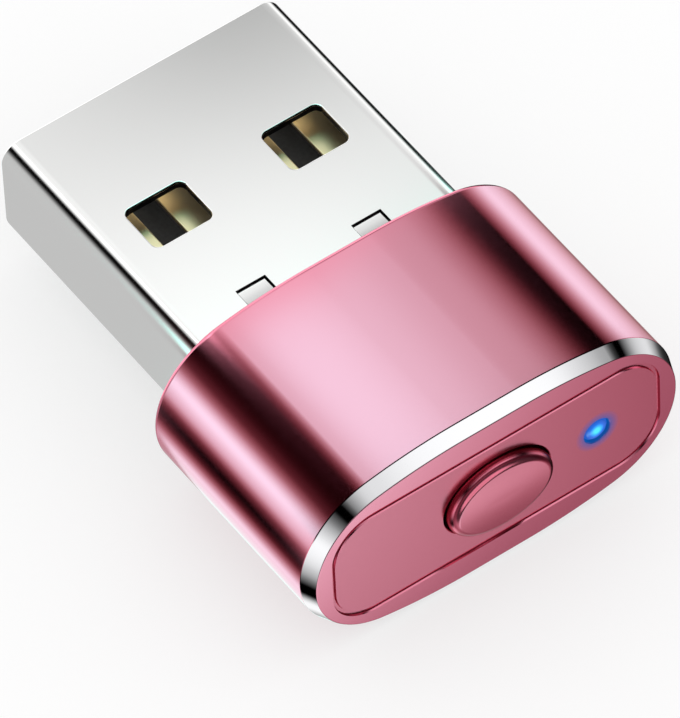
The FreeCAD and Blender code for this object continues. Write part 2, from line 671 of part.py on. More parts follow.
# ---- files -----------------------------------------------------------------------
nodes = {
    "body_shell": body_shell(),
    "front_collar": front_collar(),
    "carrier_upper": carrier(True),
    "carrier_lower": carrier(False),
    "end_panel": end_panel(),
    "button_cap": button_cap(),
    "light_pipe": light_pipe(),
    "plug_shell": plug_shell(),
    "plug_insulator": plug_insulator(),
    "circuit_board": circuit_board(),
    "microcontroller": microcontroller(),
    "crystal": crystal(),
    "voltage_regulator": voltage_regulator(),
    "ceramic_capacitors": ceramic_capacitors(),
    "chip_resistors": chip_resistors(),
    "status_led": status_led(),
    "switch_base": switch_base(),
    "switch_cover": switch_cover(),
    "switch_plunger": switch_plunger(),
    "switch_dome": switch_dome(),
    "switch_terminals": switch_terminals(),
    "solder_joints": solder_joints(),
}
for name, x in CONTACT_PLACES.items():
    nodes[name] = contact_strip(x)

os.makedirs("parts", exist_ok=True)
for name, shape in nodes.items():
    shape.exportStep("parts/" + name + ".step")
    size = shape.BoundBox
    print(name, len(shape.Solids), shape.isValid(), round(shape.Volume, 3), end=" ")
    print([round(v, 3) for v in (size.XMin, size.XMax, size.YMin, size.YMax, size.ZMin, size.ZMax)])
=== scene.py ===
# %% [markdown]
# # A USB mouse jiggler
# A pocket dongle: an oval sleeve of pink anodised aluminium round a nickel-plated plug, with a
# push button and a blue light in the panel that closes its end. The CAD frame comes first. It
# holds every solid in its real place, so each new piece takes its size from a solid's box.

# %% Load the frame
import math

import bmesh
import bpy
from mathutils import Matrix, Vector


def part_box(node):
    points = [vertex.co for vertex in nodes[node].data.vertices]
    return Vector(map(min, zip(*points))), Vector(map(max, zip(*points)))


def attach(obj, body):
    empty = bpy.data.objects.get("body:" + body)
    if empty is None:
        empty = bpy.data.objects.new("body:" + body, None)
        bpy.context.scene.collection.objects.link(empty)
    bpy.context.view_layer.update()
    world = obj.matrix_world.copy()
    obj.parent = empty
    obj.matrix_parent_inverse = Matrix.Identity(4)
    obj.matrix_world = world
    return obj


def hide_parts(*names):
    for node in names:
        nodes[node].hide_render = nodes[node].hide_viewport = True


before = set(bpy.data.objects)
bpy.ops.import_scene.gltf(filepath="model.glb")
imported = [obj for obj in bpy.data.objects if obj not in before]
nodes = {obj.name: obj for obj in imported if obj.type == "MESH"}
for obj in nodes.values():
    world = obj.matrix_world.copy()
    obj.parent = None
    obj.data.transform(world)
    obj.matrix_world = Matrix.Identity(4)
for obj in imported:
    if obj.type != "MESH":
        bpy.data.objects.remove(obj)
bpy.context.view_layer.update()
MM = 0.001


def box_mm(node):
    """Lowest corner, highest corner and size of a solid, in millimetres."""
    low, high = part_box(node)
    return low / MM, high / MM, (high - low) / MM


# %% [markdown]
# ## Camera
# A long lens far away keeps the dongle's edges almost parallel, as product pictures do. It looks
# down at 51 degrees, from the button's end and about 35 degrees round to the left.

# %% Place the camera
view = bpy.data.cameras.new("view")
view.sensor_width = 36
view.lens = 578.577
view.clip_start = 0.01
camera = bpy.data.objects.new("camera", view)
camera.location = (-0.140985, -0.209365, 0.316226)
camera.rotation_euler = [math.radians(angle) for angle in (39.15677, 1.82283, -35.60106)]
bpy.context.scene.collection.objects.link(camera)
bpy.context.scene.camera = camera
print("camera at", tuple(camera.location))

# %% [markdown]
# ## Materials
# Each material starts from the real one: what it is and how its surface was made. Colours are
# written as sRGB hex values, and one function turns them to the linear values that shaders use.
# Patterns read Object coordinates, so their scale is a real size and they stay on the piece.


# %% Colour, pattern size and one function that adds a node
def colour(code):
    """sRGB hex to the linear RGBA that a shader's socket takes."""
    channels = [int(code[i : i + 2], 16) / 255 for i in (1, 3, 5)]
    linear = [c / 12.92 if c <= 0.04045 else ((c + 0.055) / 1.055) ** 2.4 for c in channels]
    return (*linear, 1.0)


def per_size(millimetres):
    """Texture scale that makes one feature of the pattern this large."""
    return 1 / (millimetres * MM)


def add_node(tree, kind, inputs=None, **settings):
    """Adds a node, sets its properties, and fills its sockets with values or links."""
    node = tree.nodes.new(kind)
    for name, value in settings.items():
        setattr(node, name, value)
    for socket, value in (inputs or {}).items():
        if isinstance(value, bpy.types.NodeSocket):
            tree.links.new(value, node.inputs[socket])
        else:
            node.inputs[socket].default_value = value
    return node


def new_material(name, **sockets):
    """A material whose Principled shader has these constants set on its own sockets."""
    material = bpy.data.materials.new(name)
    material.use_nodes = True
    shader = material.node_tree.nodes["Principled BSDF"]
    for socket, value in sockets.items():
        shader.inputs[socket.replace("_", " ")].default_value = value
    return material


def vary(material, grain, roughness, bump=0.0, depth=0.001, stretch=(1, 1, 1), tints=None):
    """Breaks up a finish: noise of one grain size moves roughness, relief and, with tints, colour."""
    tree = material.node_tree
    shader = tree.nodes["Principled BSDF"]
    place = add_node(tree, "ShaderNodeTexCoord")
    turned = add_node(
        tree, "ShaderNodeMapping", {"Vector": place.outputs["Object"], "Scale": stretch}
    )
    noise = add_node(
        tree,
        "ShaderNodeTexNoise",
        {"Vector": turned.outputs["Vector"], "Scale": per_size(grain), "Detail": 4.0},
    )
    span = add_node(
        tree,
        "ShaderNodeMapRange",
        {"Value": noise.outputs["Fac"], "To Min": roughness[0], "To Max": roughness[1]},
    )
    tree.links.new(span.outputs["Result"], shader.inputs["Roughness"])
    if bump:
        relief = add_node(
            tree,
            "ShaderNodeBump",
            {"Height": noise.outputs["Fac"], "Strength": bump, "Distance": depth * MM},
        )
        tree.links.new(relief.outputs["Normal"], shader.inputs["Normal"])
    if tints:
        ramp = add_node(tree, "ShaderNodeValToRGB", {"Fac": noise.outputs["Fac"]})
        ramp.color_ramp.elements[0].color = colour(tints[0])
        ramp.color_ramp.elements[1].color = colour(tints[1])
        ramp.color_ramp.elements[0].position = 0.35
        ramp.color_ramp.elements[1].position = 0.65
        tree.links.new(ramp.outputs["Color"], shader.inputs["Base Color"])


print("white is", colour("#FFFFFF"))

# %% [markdown]
# ### Anodised aluminium
# The sleeve, the panel and the button are aluminium that was blasted with fine beads, dyed pink
# in the anodising bath and sealed. The dye sits under a clear oxide film, so the metal gives
# tinted, slightly soft reflections and the film adds a thin clear gloss on top. The dye also
# tints the metal where it is seen at a flat angle, which a bare metal would show white.

# %% Pink anodised finishes
PANEL_PINK = "#E1768D"
anodised_sleeve = new_material(
    "pink anodised aluminium",
    Base_Color=colour("#E1849A"),
    Specular_Tint=colour("#FFDEE6"),
    Metallic=1.0,
    Coat_Weight=0.1,
    Coat_Roughness=0.08,
    Coat_IOR=1.6,
)
# real bead marks are about 0.05 mm; drawn at 0.12 mm so that they hold at this size
vary(anodised_sleeve, 0.12, (0.09, 0.12), bump=0.05, depth=0.0003)
anodised_panel = new_material(
    "pink anodised aluminium, panel",
    Base_Color=colour(PANEL_PINK),
    Metallic=1.0,
    Coat_Weight=0.1,
    Coat_Roughness=0.15,
    Coat_IOR=1.6,
)
vary(anodised_panel, 0.12, (0.23, 0.28), bump=0.08, depth=0.0004)
anodised_button = new_material(
    "pink anodised aluminium, button",
    Base_Color=colour("#DE748A"),
    Metallic=1.0,
    Coat_Weight=0.1,
    Coat_Roughness=0.12,
    Coat_IOR=1.6,
)
vary(anodised_button, 0.12, (0.17, 0.21), bump=0.06, depth=0.0004)
print("anodised finishes:", anodised_sleeve.name, "and its panel and button batches")

# %% [markdown]
# ### Bare and plated metals
# The chamfer is cut after anodising by a diamond tool, which leaves bare aluminium as bright as
# a mirror, with tool lines far too fine to see. The plug's shell is stamped steel with polished
# nickel on it. The contacts carry a thin layer of gold, so they are paler than solid gold.

# %% Bright cut, nickel and gold
bright_cut = new_material(
    "diamond-cut aluminium", Base_Color=colour("#F4F4F6"), Metallic=1.0, Roughness=0.06
)
vary(bright_cut, 0.2, (0.04, 0.07), bump=0.05, depth=0.0003)
nickel = new_material("polished nickel plate", Base_Color=colour("#EDEDEC"), Metallic=1.0)
# rolling marks run along the strip that the shell was stamped from
vary(nickel, 0.1, (0.09, 0.13), bump=0.05, depth=0.0004, stretch=(1, 0.08, 1))
# a sheared wall is torn and carries no nickel, and is drawn much darker than the plate: partly
# painted shade
sheared = new_material("sheared steel edge, darkened as painted shade", Base_Color=colour("#2E2E30"), Metallic=1.0)
vary(sheared, 0.06, (0.45, 0.6), bump=0.3, depth=0.001, stretch=(1, 1, 0.2))
gold = new_material("gold plate", Base_Color=colour("#FFEBC0"), Metallic=1.0)
vary(gold, 0.08, (0.3, 0.36), bump=0.1, depth=0.0005, stretch=(1, 0.1, 1))
steel = new_material("stamped stainless steel", Base_Color=colour("#C9C8C6"), Metallic=1.0)
vary(steel, 0.1, (0.25, 0.38), bump=0.2, depth=0.001, stretch=(0.1, 1, 1))
tin = new_material("tin solder", Base_Color=colour("#D5D5D6"), Metallic=1.0)
vary(tin, 0.25, (0.22, 0.42), bump=0.4, depth=0.004)
can = new_material("nickel silver can", Base_Color=colour("#D8D4C8"), Metallic=1.0)
vary(can, 0.15, (0.25, 0.35), bump=0.2, depth=0.001)
print("metals ready")

# %% [markdown]
# ### Plastics, ceramics and the board
# Moulded nylon and ABS take a fine sparked texture from their moulds, so they are dark and
# dull. The board is glass cloth in epoxy under a green mask, and its cloth shows as a faint
# weave. Chips are epoxy filled with silica, which gives them a dry, speckled black.

# %% Moulded and fired finishes
nylon = new_material("glass-filled nylon", Base_Color=colour("#525252"), IOR=1.53)
vary(nylon, 0.15, (0.42, 0.58), bump=0.4, depth=0.004, tints=("#4D4D4D", "#575757"))
abs_black = new_material("black ABS", Base_Color=colour("#1B1B1C"), IOR=1.54)
vary(abs_black, 0.12, (0.4, 0.55), bump=0.5, depth=0.005, tints=("#18181A", "#232325"))
epoxy = new_material("chip epoxy", Base_Color=colour("#1E1E20"), IOR=1.55)
vary(epoxy, 0.08, (0.45, 0.6), bump=0.4, depth=0.003, tints=("#19191B", "#29292B"))
mask = new_material("green solder mask", Base_Color=colour("#14532D"), IOR=1.5, Coat_Weight=0.4)
vary(mask, 0.3, (0.25, 0.4), bump=0.3, depth=0.003, tints=("#0F4726", "#1B6237"))
tan_ceramic = new_material("tan fired ceramic", Base_Color=colour("#A88B6C"), IOR=1.6)
vary(tan_ceramic, 0.1, (0.4, 0.55), bump=0.3, depth=0.002, tints=("#9B7E60", "#B4987A"))
glaze = new_material("black resistor glaze", Base_Color=colour("#232326"), IOR=1.55)
vary(glaze, 0.2, (0.15, 0.3), bump=0.2, depth=0.002, tints=("#1E1E21", "#2B2B2F"))
lamp_white = new_material("white lamp moulding", Base_Color=colour("#EFEFE8"), IOR=1.5)
vary(lamp_white, 0.2, (0.3, 0.42), bump=0.2, depth=0.002, tints=("#E9E9E1", "#F4F4EF"))
brown_nylon = new_material("brown nylon", Base_Color=colour("#7A3A2A"), IOR=1.53)
vary(brown_nylon, 0.15, (0.35, 0.5), bump=0.3, depth=0.003, tints=("#6F3325", "#854332"))
print("plastics and ceramics ready")

# %% [markdown]
# ### The lit pipe
# A blue lamp on the board shines up a clear acrylic pin. Its face is brightest in the middle,
# where the lamp is seen straight on, and turns to a deeper blue at the rim.

# %% Acrylic lit from behind
lit_acrylic = new_material("clear acrylic, lit blue", Base_Color=colour("#0B2A6B"), IOR=1.49)
tree = lit_acrylic.node_tree
shader = tree.nodes["Principled BSDF"]
pipe_low, pipe_high, pipe_size = box_mm("light_pipe")
pipe_x = (pipe_low.x + pipe_high.x) / 2
pipe_z = (pipe_low.z + pipe_high.z) / 2


def light_radius(tree):
    """Distance from the light's centre line, in millimetres."""
    place = add_node(tree, "ShaderNodeTexCoord")
    centred = add_node(
        tree,
        "ShaderNodeMapping",
        {
            "Vector": place.outputs["Object"],
            "Location": (-pipe_x, 0, -pipe_z),
            "Scale": (1 / MM, 0, 1 / MM),
        },
    )
    length = add_node(
        tree, "ShaderNodeVectorMath", {0: centred.outputs["Vector"]}, operation="LENGTH"
    )
    return length.outputs["Value"]


CORE_BLUE = "#44EAFF"
RIM_BLUE = "#2159BA"
glow = add_node(tree, "ShaderNodeValToRGB", {"Fac": light_radius(tree)})
for spot, code in ((0.1, CORE_BLUE), (0.2, "#31B0FD"), (0.3, "#2470DD"), (0.42, RIM_BLUE)):
    glow.color_ramp.elements.new(spot).color = colour(code)
glow.color_ramp.elements[0].color = colour(CORE_BLUE)
glow.color_ramp.elements[-1].color = colour(RIM_BLUE)
tree.links.new(glow.outputs["Color"], shader.inputs["Emission Color"])
shader.inputs["Emission Strength"].default_value = 1.0
shader.inputs["Roughness"].default_value = 0.15
print("light at x", round(pipe_x, 2), "z", round(pipe_z, 2))

# %% [markdown]
# Round the pin a blue glow is painted into the panel, up to 0.4 millimetres from the hole: the pink
# is painted darker towards the hole and a blue emission fades in, as painted light from the lamp
# behind.

# %% The panel's painted glow round the pin
tree = anodised_panel.node_tree
shader = tree.nodes["Principled BSDF"]
GLOW_INNER = 0.42  # distances from the pin's centre line, in millimetres
GLOW_OUTER = 0.93
painted_glow_share = add_node(
    tree,
    "ShaderNodeMapRange",
    {
        "Value": light_radius(tree),
        "From Min": GLOW_OUTER,
        "From Max": GLOW_INNER,
        "To Max": 0.95,
    },
)
# the pink is painted down towards near black beside the pin, so the painted blue glow shows pure
dye = add_node(
    tree,
    "ShaderNodeMix",
    {0: painted_glow_share.outputs["Result"], 6: colour(PANEL_PINK), 7: colour("#000810")},
    data_type="RGBA",
)
tree.links.new(dye.outputs[2], shader.inputs["Base Color"])
tree.links.new(painted_glow_share.outputs["Result"], shader.inputs["Emission Strength"])
shader.inputs["Emission Color"].default_value = colour("#0056AA")
print("glow round the pin:", painted_glow_share.name)

# %% [markdown]
# ## Shaping tools
# Nearly every piece is a set of loops with a skin between them. A loop is a rectangle whose
# corners a vertex bevel rounds, an ellipse, or the sleeve's own outline. All work is done in
# millimetres, because some bmesh operators treat very small lengths as zero, and the finished
# piece is scaled to metres.

# %% Loops, skins and the finishing function
TINY = 1e-4  # millimetres within which two places count as the same
plug_low, plug_high, plug_size = box_mm("plug_shell")
AXIS_Z = (plug_low.z + plug_high.z) / 2


def upright(y, x=0.0, z=AXIS_Z):
    """Stands a loop up, facing along the plug's axis."""
    return Matrix.Translation((x, y, z)) @ Matrix.Rotation(math.radians(90), 4, "X")


def rounded_loop(bm, width, height, radius, place, spare=0.0, steps=12):
    """Loop of edges: a rectangle with rounded corners, grown by spare all round."""
    corners = bmesh.ops.create_grid(bm, x_segments=1, y_segments=1, size=1)["verts"]
    bmesh.ops.scale(bm, vec=(width / 2 + spare, height / 2 + spare, 1), verts=corners)
    made = bmesh.ops.bevel(
        bm,
        geom=corners,
        offset=radius + spare,
        offset_type="OFFSET",
        segments=steps,
        profile=0.5,
        affect="VERTICES",
        material=-1,
        clamp_overlap=False,
    )
    face = made["verts"][0].link_faces[0]
    edges = list(face.edges)
    bmesh.ops.transform(bm, matrix=place, verts=list(face.verts))
    bmesh.ops.delete(bm, geom=[face], context="FACES_ONLY")
    return edges


def oval_loop(bm, width, height, place, spare=0.0, steps=96):
    """Loop of edges: an ellipse, grown by spare all round."""
    verts = bmesh.ops.create_circle(bm, segments=steps, radius=1)["verts"]
    bmesh.ops.scale(bm, vec=(width / 2 + spare, height / 2 + spare, 1), verts=verts)
    bmesh.ops.transform(bm, matrix=place, verts=verts)
    return list({edge for vert in verts for edge in vert.link_edges})


def skin(bm, loops, closed=False):
    """Joins each loop to the next with faces, and returns the faces band by band."""
    pairs = list(zip(loops, loops[1:]))
    if closed:
        pairs.append((loops[-1], loops[0]))
    return [bmesh.ops.bridge_loops(bm, edges=a + b)["faces"] for a, b in pairs]


def plate(bm, loops, facing):
    """Fills the flat area inside the first loop and outside the others."""
    edges = [edge for loop in loops for edge in loop]
    bmesh.ops.triangle_fill(bm, use_beauty=True, edges=edges, normal=facing)


def soften(profile, length):
    """Rounds the inner corners of a profile of (spare, y) points over a short length."""
    points = [profile[0]]
    for before, corner, after in zip(profile, profile[1:], profile[2:]):
        here = Vector(corner)
        start = here + (Vector(before) - here).normalized() * length
        end = here + (Vector(after) - here).normalized() * length
        middle = (start + 2 * here + end) / 4
        points += [tuple(start), tuple(middle), tuple(end)]
    return points + [profile[-1]]


def finish_piece(name, bm, body, slot, materials, *stands_for, sharp=28):
    """Turns a bmesh in millimetres to a finished piece that rides on a body."""
    bmesh.ops.recalc_face_normals(bm, faces=bm.faces)
    mesh = bpy.data.meshes.new(name)
    bm.to_mesh(mesh)
    bm.free()
    for material in materials:
        mesh.materials.append(material)
    mesh.shade_smooth()
    mesh.set_sharp_from_angle(angle=math.radians(sharp))
    piece = bpy.data.objects.new(name, mesh)
    bpy.context.scene.collection.objects.link(piece)
    # large flat faces decide the shading at the small round edges beside them
    weighted = piece.modifiers.new("weighted normals", "WEIGHTED_NORMAL")
    weighted.keep_sharp = True
    weighted.weight = 100
    shaded = piece.evaluated_get(bpy.context.evaluated_depsgraph_get())
    piece.data = bpy.data.meshes.new_from_object(shaded)
    piece.data.name = name
    piece.data.transform(Matrix.Scale(MM, 4))
    piece.modifiers.clear()
    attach(piece, body)
    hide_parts(*stands_for)
    print(name, len(piece.data.polygons), "faces")


# %% [markdown]
# ## Sleeve
# The sleeve is cut from an extruded tube: flat lands on top and underneath, a slight crown and
# round ends. Its front edge is rounded, and the other end has the bright chamfer. One quarter of
# the outline is spun from a single vertex and mirrored twice, so all four quarters agree.

# %% The sleeve's outline
sleeve_low, sleeve_high, sleeve_size = box_mm("body_shell")
panel_low, panel_high, panel_size = box_mm("end_panel")
half_width = sleeve_size.x / 2
half_height = sleeve_size.z / 2
LAND = 1.25  # half the flat's width
END_FLATTER = 0.3  # how much less than half the height the round ends' radius is
end_radius = half_height - END_FLATTER
reach = half_width - end_radius - LAND
crown = (reach**2 + half_height**2 - end_radius**2) / (2 * (half_height - end_radius))
crown_turn = math.atan2(reach, crown - half_height)


def sleeve_loop(bm, spare, y):
    """The sleeve's outline at y, grown by spare."""
    old = set(bm.verts)

    def made():
        verts = [vert for vert in bm.verts if vert not in old]
        return verts, list({edge for vert in verts for edge in vert.link_edges})

    vert = bm.verts.new((LAND, 0, half_height + spare))
    arcs = (
        ((LAND, 0, half_height - crown), crown_turn, 12),
        ((half_width - end_radius, 0, 0), math.pi / 2 - crown_turn, 48),
    )
    for centre, angle, steps in arcs:
        spun = bmesh.ops.spin(
            bm, geom=[vert], cent=centre, axis=(0, 1, 0), angle=angle, steps=steps
        )
        vert = [item for item in spun["geom_last"] if isinstance(item, bmesh.types.BMVert)][0]
    for axis in "XZ":
        verts, edges = made()
        bmesh.ops.mirror(
            bm, geom=verts + edges, matrix=Matrix.Identity(4), merge_dist=TINY, axis=axis
        )
    verts, edges = made()
    for side in (-1, 1):
        ends = [vert for vert in verts if len(vert.link_edges) == 1 and vert.co.z * side > 0]
        bmesh.ops.contextual_create(bm, geom=ends)
    bmesh.ops.translate(bm, vec=(0, y, AXIS_Z), verts=verts)
    return made()[1]


print("crown radius", round(crown, 2), "mm over", round(math.degrees(crown_turn), 1), "degrees")

# %% Build the sleeve
front_y = sleeve_high.y
end_y = sleeve_low.y
FRONT_RADIUS = 0.25
CUT_LENGTH = 0.6
CUT_WIDTH = 0.25
CAVITY_RADIUS = 1.8
MOUTH = (13.96, 5.23)
EDGE = 0.03
STEEP = (0.03, 0.07)  # width and depth of the edges that catch a bright line
CUT_SOFTNESS = 0.035
TURN_STEPS = 8


def quarter_turn(radius):
    """Points of a round edge: how far in, and how far back, from its widest place outwards."""
    for step in range(TURN_STEPS + 1):
        angle = math.radians(90 * step / TURN_STEPS)
        yield radius * (math.sin(angle) - 1), radius * (1 - math.cos(angle))


bm = bmesh.new()
outer = [(spare, front_y - back) for spare, back in quarter_turn(FRONT_RADIUS)]
cut = [
    (0, 0),
    (0, end_y + CUT_LENGTH),
    (-CUT_WIDTH, end_y),
    (-2 * CUT_WIDTH, end_y),
]
outer += soften(cut, CUT_SOFTNESS)[1:-1]
loops = [sleeve_loop(bm, spare, y) for spare, y in outer]
bands = skin(bm, loops)
mouth = ((STEEP[0], end_y), (0, end_y + STEEP[1]), (0, front_y - EDGE), (EDGE, front_y))
inner = [rounded_loop(bm, *MOUTH, CAVITY_RADIUS, upright(y), spare, 20) for spare, y in mouth]
skin(bm, inner)
# the flat ends are filled between the outline and the mouth
plate(bm, [loops[-1], inner[0]], (0, -1, 0))
plate(bm, [loops[0], inner[-1]], (0, 1, 0))
# the bright cut is the chamfer's flat with the half of each soft corner that borders on it
first_cut = TURN_STEPS + 2
CUT_BANDS = 3
for faces in bands[first_cut : first_cut + CUT_BANDS]:
    for face in faces:
        face.material_index = 1
skins = [anodised_sleeve, bright_cut]
finish_piece("sleeve", bm, "case", "anodised_sleeve", skins, "body_shell", sharp=22)

# %% [markdown]
# ## Collar
# A moulded frame fills the sleeve's mouth and holds the plug in line. It is a short tube with an
# oblong hole, so it takes three loops outside and three inside, and small chamfers catch the
# light at its front.

# %% Build the collar
collar_low, collar_high, collar_size = box_mm("front_collar")
PLUG_RADIUS = 0.8
FIT_GAP = 0.05
COLLAR_EDGE = 0.15
bm = bmesh.new()
loops = []
for spare, y in ((0, collar_low.y), (0, collar_high.y - COLLAR_EDGE), (-COLLAR_EDGE, collar_high.y)):
    loops.append(
        rounded_loop(
            bm, collar_size.x, collar_size.z, CAVITY_RADIUS - FIT_GAP, upright(y), spare, 20
        )
    )
hole = (plug_size.x + 2 * FIT_GAP, plug_size.z + 2 * FIT_GAP, PLUG_RADIUS + FIT_GAP)
for spare, y in ((EDGE, collar_high.y), (0, collar_high.y - EDGE), (0, collar_low.y)):
    loops.append(rounded_loop(bm, *hole, upright(y), spare, 20))
skin(bm, loops, closed=True)
finish_piece("collar", bm, "case", "black_abs", [abs_black], "front_collar")

# %% [markdown]
# ## End panel
# A plate pressed into the sleeve's end, with an oval hole for the button and a round one for the
# light. Both faces are filled round their holes, and a skin over a few rings makes each front
# edge with its small chamfer. The outer one is steep and as smooth as the sleeve.

# %% Build the end panel
button_low, button_high, button_size = box_mm("button_cap")
BUTTON_WIDTH = 4.4
BUTTON_HEIGHT = 3.35
BUTTON_GAP = 0.08
LIGHT_RADIUS = 0.5
HOLE_EDGE = 0.03
GROOVE = 0.09
NEARLY_FLUSH = 0.015  # how much nearer the sleeve's end the face lies than the solid's
panel_radius = CAVITY_RADIUS - (MOUTH[0] - panel_size.x) / 2
face_y = panel_low.y - NEARLY_FLUSH
back_y = panel_high.y


def panel_outline(bm, spare, y, width=panel_size.x, height=panel_size.z, radius=panel_radius):
    return rounded_loop(bm, width, height, radius, upright(y), spare, 20)


def button_outline(bm, spare, y):
    return oval_loop(bm, BUTTON_WIDTH, BUTTON_HEIGHT, upright(y), spare)


def light_outline(bm, spare, y):
    place = upright(y, pipe_x, pipe_z)
    return oval_loop(bm, 2 * LIGHT_RADIUS, 2 * LIGHT_RADIUS, place, spare, 64)


bm = bmesh.new()
rims = []
for outline, gap, edge, depth in (
    (panel_outline, 0, -STEEP[0], STEEP[1]),
    (button_outline, BUTTON_GAP, HOLE_EDGE, HOLE_EDGE),
    (light_outline, FIT_GAP, HOLE_EDGE, HOLE_EDGE),
):
    steps = [(gap + edge, face_y), (gap, face_y + depth)]
    if outline is not panel_outline:
        steps.append((gap, back_y))
    rims.append([outline(bm, spare, y) for spare, y in steps])
# behind its face the panel steps out to the sleeve's wall, so the groove round it is shallow
step_y = face_y + GROOVE
rims[0].append(panel_outline(bm, 0, step_y))
for y in (step_y, back_y):
    rims[0].append(panel_outline(bm, FIT_GAP / 2, y, *MOUTH, CAVITY_RADIUS))
for rim in rims:
    edge_faces = skin(bm, rim)[0]
    if rim is rims[0]:
        for face in edge_faces:
            face.material_index = 1
plate(bm, [rim[0] for rim in rims], (0, -1, 0))
plate(bm, [rim[-1] for rim in rims], (0, 1, 0))
skins = [anodised_panel, anodised_sleeve]
finish_piece("panel", bm, "case", "anodised_panel", skins, "end_panel", sharp=22)

# %% [markdown]
# ## Button
# The cap is an ellipse with a round edge and a barely crowned face, so its top half mirrors a
# higher part of the light than its lower half. A flange behind the panel keeps it in.

# %% Build the button
BUTTON_EDGE_RADIUS = 0.3
BUTTON_CROWN = 0.06
FLANGE_THICKNESS = 0.4
FLANGE_RADIUS = 1.2
front_face = button_low.y
bm = bmesh.new()
# the face, from near its middle outwards, and then its round edge
profile = []
for share in (0.08, 0.3, 0.5, 0.7, 0.85):
    spare = -(1 - share) * (BUTTON_HEIGHT / 2 - BUTTON_EDGE_RADIUS) - BUTTON_EDGE_RADIUS
    profile.append((spare, front_face))
profile += [(spare, front_face + back) for spare, back in quarter_turn(BUTTON_EDGE_RADIUS)]
flange_y = button_high.y - FLANGE_THICKNESS
profile.append((0, flange_y))
loops = [button_outline(bm, spare, y) for spare, y in profile]
for vert in bm.verts:
    if vert.co.y < face_y:
        vert.co.y += BUTTON_CROWN * ((vert.co.z - AXIS_Z) / (BUTTON_HEIGHT / 2)) ** 2
bmesh.ops.contextual_create(bm, geom=loops[0])
skin(bm, loops)
flange = []
for y in (flange_y, button_high.y):
    flange.append(rounded_loop(bm, button_size.x, button_size.z, FLANGE_RADIUS, upright(y), 0, 20))
skin(bm, flange)
plate(bm, [flange[0], loops[-1]], (0, -1, 0))
bmesh.ops.contextual_create(bm, geom=flange[1])
finish_piece(
    "button", bm, "button", "anodised_button", [anodised_button], "button_cap", sharp=40
)

# %% [markdown]
# ## Light pipe
# A stepped acrylic pin: its stem fills the panel's small hole, its head seats behind the panel
# and its tail reaches the lamp. The face is slightly domed where it was polished.

# %% Build the light pipe
bm = bmesh.new()
HEAD_RADIUS = pipe_size.x / 2
HEAD_THICKNESS = 0.35
DOME = 0.05
profile = [(0.08, pipe_low.y), (0.25, pipe_low.y + 0.3 * DOME), (0.42, pipe_low.y + DOME)]
profile += [(LIGHT_RADIUS, pipe_low.y + 2.5 * DOME), (LIGHT_RADIUS, back_y)]
profile += [(HEAD_RADIUS, back_y), (HEAD_RADIUS, back_y + HEAD_THICKNESS)]
profile += [(LIGHT_RADIUS, back_y + HEAD_THICKNESS), (LIGHT_RADIUS, pipe_high.y)]
loops = [
    oval_loop(bm, 2 * size, 2 * size, upright(y, pipe_x, pipe_z), 0, 64) for size, y in profile
]
skin(bm, loops)
for loop in (loops[0], loops[-1]):
    bmesh.ops.contextual_create(bm, geom=loop)
finish_piece("light_pin", bm, "case", "clear_acrylic", [lit_acrylic], "light_pipe")

# %% [markdown]
# ## Plug shell
# The shell is folded from one strip, with two windows and two bent tabs in each wide wall and a
# seam underneath. Its round corners and sides come from a skin over loops. The wide walls are
# filled as flat sheets round their openings, and a press leaves a small roll at each window.

# %% Sizes of the openings
WALL = 0.3
MOUTH_ROUND = 0.08
ROLL = 0.07
WINDOW = (2.52, 2.07, 0.3)
WINDOW_X = 2.94
WINDOW_FROM_TIP = 6.03
window_y = plug_high.y - WINDOW_FROM_TIP
TAB_WIDTH = 1.18
TAB_LENGTH = 1.5
TAB_DROP = 0.1
TAB_X = 2.48
SIDE_SLIT = 0.045
TIP_SLIT = 0.01
SLIT_ROUND = 0.02
SEAM_WIDTH = 0.08
SEAM_DEPTH = 0.1
SEAM_INSET = 0.15
SEAM_ROUND = 0.01
TAB_BEND = 0.3
TAB_FLAT = 0.4  # level part at the tab's free end
STRIP_CORNER = 0.03
TAB_FROM_SLEEVE = 1.7
tab_front_y = front_y + TAB_FROM_SLEEVE
LEG_LENGTH = 1.7
LEG_HEIGHT = 2.2
shell_back_y = plug_low.y + LEG_LENGTH
half_plug = plug_size.z / 2


def flat_place(x, y, side, depth):
    """A loop lying in the top wall, side 1, or the bottom wall, side -1, at a depth."""
    return Matrix.Translation((x, y, AXIS_Z + side * (half_plug - depth)))


print("windows at y", round(window_y, 3), "tabs end at y", round(tab_front_y, 3))

